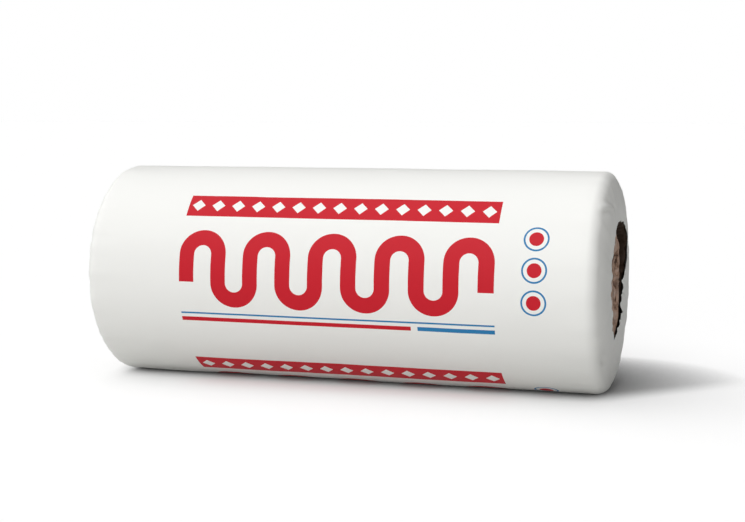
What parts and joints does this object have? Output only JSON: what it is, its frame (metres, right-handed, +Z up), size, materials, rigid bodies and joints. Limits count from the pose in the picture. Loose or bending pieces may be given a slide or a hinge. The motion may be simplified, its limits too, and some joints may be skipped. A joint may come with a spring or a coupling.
{
  "type": "insulation roll",
  "caption": "Mat of mineral wool wound into a roll and held pressed in a printed film sleeve, torn open at both ends; fills walls, floors and lofts.",
  "frame": {"origin": "on the floor under the middle of the roll", "axes": "+X along the roll towards the end that shows in the picture, +Y to the back, +Z up"},
  "size_m": [1.22, 0.504, 0.5038],
  "materials": {
    "mineral_wool": "fibrous, matt",
    "polyethylene_film": "satin film"
  },
  "bodies": {
    "root": {"wool_roll": "mineral_wool", "wrap_film": "polyethylene_film"}
  },
  "joints": []
}
